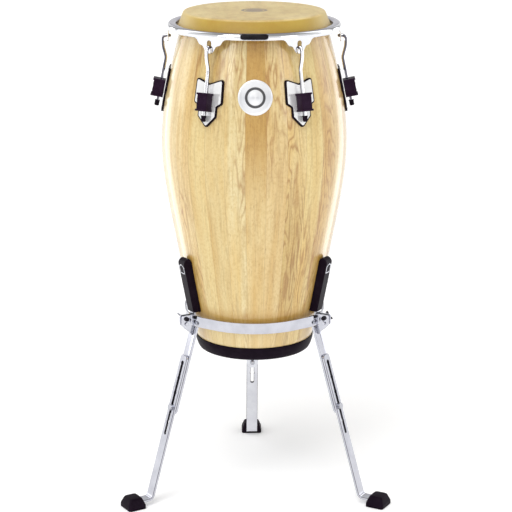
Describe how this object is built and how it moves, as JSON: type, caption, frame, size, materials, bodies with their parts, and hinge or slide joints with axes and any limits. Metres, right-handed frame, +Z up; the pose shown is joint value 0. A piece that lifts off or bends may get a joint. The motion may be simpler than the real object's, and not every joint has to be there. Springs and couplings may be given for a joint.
{
  "type": "conga drum on stand",
  "caption": "Barrel-shaped hand drum with a tensioned skin head, hooked tuning lugs and a chromed tripod ring stand with padded uprights.",
  "frame": {"origin": "on the floor, at the middle of the footprint's bounding box; the drum's axis stands 65 mm ahead of it, towards -Y, and 3 mm to its left", "axes": "+Z up along the drum's axis, -Y towards the front, where the badge is, +X to the right seen from the front"},
  "size_m": [0.582, 0.5234, 1.0509],
  "materials": {
    "wood": "clear gloss lacquer over pale rubberwood staves",
    "skin": "natural hide, satin",
    "chrome": "polished chrome plate",
    "steel": "zinc-plated steel, satin",
    "rubber": "moulded black rubber, matte",
    "block": "moulded black plastic, fine grain",
    "badge": "thin brushed metal, plain"
  },
  "bodies": {
    "stand": {"ring_arc_1": "chrome", "upright_1": "steel", "pad_1": "rubber", "ring_arc_2": "chrome", "upright_2": "steel", "pad_2": "rubber", "ring_arc_3": "chrome", "upright_3": "steel", "pad_3": "rubber"},
    "drum": {"shell": "wood", "bottom_ring": "rubber", "drumhead": "skin", "flesh_hoop": "steel", "badge": "badge", "gasket_1": "rubber", "side_plate_1": "chrome", "lug_block_1": "block", "gasket_2": "rubber", "side_plate_2": "chrome", "lug_block_2": "block", "gasket_3": "rubber", "side_plate_3": "chrome", "lug_block_3": "block", "gasket_4": "rubber", "side_plate_4": "chrome", "lug_block_4": "block", "gasket_5": "rubber", "side_plate_5": "chrome", "lug_block_5": "block", "gasket_6": "rubber", "side_plate_6": "chrome", "lug_block_6": "block"},
    "rim": {"tension_rim": "chrome"},
    "rod_1": {"lug_rod_1": "chrome"},
    "rod_2": {"lug_rod_2": "chrome"},
    "rod_3": {"lug_rod_3": "chrome"},
    "rod_4": {"lug_rod_4": "chrome"},
    "rod_5": {"lug_rod_5": "chrome"},
    "rod_6": {"lug_rod_6": "chrome"},
    "nut_1": {"lug_nut_1": "steel"},
    "nut_2": {"lug_nut_2": "steel"},
    "nut_3": {"lug_nut_3": "steel"},
    "nut_4": {"lug_nut_4": "steel"},
    "nut_5": {"lug_nut_5": "steel"},
    "nut_6": {"lug_nut_6": "steel"},
    "upper_leg_1": {"upper_leg_1": "chrome"},
    "lower_leg_1": {"lower_leg_1": "chrome", "foot_1": "rubber"},
    "wing_bolt_1": {"wing_bolt_1": "steel"},
    "lock_bolt_1": {"lock_bolt_1": "steel"},
    "upper_leg_2": {"upper_leg_2": "chrome"},
    "lower_leg_2": {"lower_leg_2": "chrome", "foot_2": "rubber"},
    "wing_bolt_2": {"wing_bolt_2": "steel"},
    "lock_bolt_2": {"lock_bolt_2": "steel"},
    "upper_leg_3": {"upper_leg_3": "chrome"},
    "lower_leg_3": {"lower_leg_3": "chrome", "foot_3": "rubber"},
    "wing_bolt_3": {"wing_bolt_3": "steel"},
    "lock_bolt_3": {"lock_bolt_3": "steel"}
  },
  "joints": [
    {"name": "drum_lift", "type": "slide", "parent": "stand", "child": "drum", "axis": [0, 0, 1], "range_m": [0, 0.25]},
    {"name": "rim_lift", "type": "slide", "parent": "drum", "child": "rim", "axis": [0, 0, 1], "range_m": [0, 0.012]},
    {"name": "rod_lift_1", "type": "slide", "parent": "drum", "child": "rod_1", "axis": [0.0997, 0.1727, 0.9799], "range_m": [0, 0.01245]},
    {"name": "rod_lift_2", "type": "slide", "parent": "drum", "child": "rod_2", "axis": [-0.0997, 0.1727, 0.9799], "range_m": [0, 0.01245]},
    {"name": "rod_lift_3", "type": "slide", "parent": "drum", "child": "rod_3", "axis": [-0.1994, 0, 0.9799], "range_m": [0, 0.01245]},
    {"name": "rod_lift_4", "type": "slide", "parent": "drum", "child": "rod_4", "axis": [-0.0997, -0.1727, 0.9799], "range_m": [0, 0.01245]},
    {"name": "rod_lift_5", "type": "slide", "parent": "drum", "child": "rod_5", "axis": [0.0997, -0.1727, 0.9799], "range_m": [0, 0.01245]},
    {"name": "rod_lift_6", "type": "slide", "parent": "drum", "child": "rod_6", "axis": [0.1994, 0, 0.9799], "range_m": [0, 0.01245]},
    {"name": "nut_turn_1", "type": "hinge", "parent": "drum", "child": "nut_1", "pos_m": [-0.10306, -0.23753, 0.8885], "axis": [0.0997, 0.1727, 0.9799], "range_deg": [-3600, 0]},
    {"name": "nut_turn_2", "type": "hinge", "parent": "drum", "child": "nut_2", "pos_m": [0.09634, -0.23753, 0.8885], "axis": [-0.0997, 0.1727, 0.9799], "range_deg": [-3600, 0]},
    {"name": "nut_turn_3", "type": "hinge", "parent": "drum", "child": "nut_3", "pos_m": [0.19604, -0.06484, 0.8885], "axis": [-0.1994, 0, 0.9799], "range_deg": [-3600, 0]},
    {"name": "nut_turn_4", "type": "hinge", "parent": "drum", "child": "nut_4", "pos_m": [0.09634, 0.10784, 0.8885], "axis": [-0.0997, -0.1727, 0.9799], "range_deg": [-3600, 0]},
    {"name": "nut_turn_5", "type": "hinge", "parent": "drum", "child": "nut_5", "pos_m": [-0.10306, 0.10784, 0.8885], "axis": [0.0997, -0.1727, 0.9799], "range_deg": [-3600, 0]},
    {"name": "nut_turn_6", "type": "hinge", "parent": "drum", "child": "nut_6", "pos_m": [-0.20276, -0.06484, 0.8885], "axis": [0.1994, 0, 0.9799], "range_deg": [-3600, 0]},
    {"name": "leg_fold_1", "type": "hinge", "parent": "stand", "child": "upper_leg_1", "pos_m": [-0.15118, -0.15472, 0.3935], "axis": [0.5195, -0.8545, 0], "range_deg": [0, 28]},
    {"name": "leg_extend_1", "type": "slide", "parent": "upper_leg_1", "child": "lower_leg_1", "axis": [-0.2412, -0.1467, -0.9593], "range_m": [-0.0331, 0.0993]},
    {"name": "wing_bolt_turn_1", "type": "hinge", "parent": "stand", "child": "wing_bolt_1", "pos_m": [-0.15118, -0.15472, 0.4045], "axis": [0.5195, -0.8545, 0], "continuous": true},
    {"name": "lock_bolt_turn_1", "type": "hinge", "parent": "upper_leg_1", "child": "lock_bolt_1", "pos_m": [-0.19606, -0.182, 0.21507], "axis": [-0.8197, -0.4984, 0.2823], "continuous": true},
    {"name": "leg_fold_2", "type": "hinge", "parent": "stand", "child": "upper_leg_2", "pos_m": [0.14838, -0.14792, 0.3935], "axis": [0.4802, 0.8771, 0], "range_deg": [0, 28]},
    {"name": "leg_extend_2", "type": "slide", "parent": "upper_leg_2", "child": "lower_leg_2", "axis": [0.2477, -0.1356, -0.9593], "range_m": [-0.0331, 0.0993]},
    {"name": "wing_bolt_turn_2", "type": "hinge", "parent": "stand", "child": "wing_bolt_2", "pos_m": [0.14838, -0.14792, 0.4045], "axis": [0.4802, 0.8771, 0], "continuous": true},
    {"name": "lock_bolt_turn_2", "type": "hinge", "parent": "upper_leg_2", "child": "lock_bolt_2", "pos_m": [0.19445, -0.17314, 0.21507], "axis": [0.8415, -0.4607, 0.2823], "continuous": true},
    {"name": "leg_fold_3", "type": "hinge", "parent": "stand", "child": "upper_leg_3", "pos_m": [-0.00729, 0.10811, 0.3935], "axis": [-0.9997, -0.0227, 0], "range_deg": [0, 28]},
    {"name": "leg_extend_3", "type": "slide", "parent": "upper_leg_3", "child": "lower_leg_3", "axis": [-0.0064, 0.2823, -0.9593], "range_m": [-0.0331, 0.0993]},
    {"name": "wing_bolt_turn_3", "type": "hinge", "parent": "stand", "child": "wing_bolt_3", "pos_m": [-0.00729, 0.10811, 0.4045], "axis": [-0.9997, -0.0227, 0], "continuous": true},
    {"name": "lock_bolt_turn_3", "type": "hinge", "parent": "upper_leg_3", "child": "lock_bolt_3", "pos_m": [-0.00848, 0.16062, 0.21507], "axis": [-0.0218, 0.9591, 0.2823], "continuous": true}
  ],
  "couplings": [
    {"joint": "rod_lift_1", "follows": "rim_lift", "ratio": 1.0205},
    {"joint": "rod_lift_2", "follows": "rim_lift", "ratio": 1.0205},
    {"joint": "rod_lift_3", "follows": "rim_lift", "ratio": 1.0205},
    {"joint": "rod_lift_4", "follows": "rim_lift", "ratio": 1.0205},
    {"joint": "rod_lift_5", "follows": "rim_lift", "ratio": 1.0205},
    {"joint": "rod_lift_6", "follows": "rim_lift", "ratio": 1.0205},
    {"joint": "nut_turn_1", "follows": "rim_lift", "rad_per_m": -5129.5},
    {"joint": "nut_turn_2", "follows": "rim_lift", "rad_per_m": -5129.5},
    {"joint": "nut_turn_3", "follows": "rim_lift", "rad_per_m": -5129.5},
    {"joint": "nut_turn_4", "follows": "rim_lift", "rad_per_m": -5129.5},
    {"joint": "nut_turn_5", "follows": "rim_lift", "rad_per_m": -5129.5},
    {"joint": "nut_turn_6", "follows": "rim_lift", "rad_per_m": -5129.5}
  ]
}
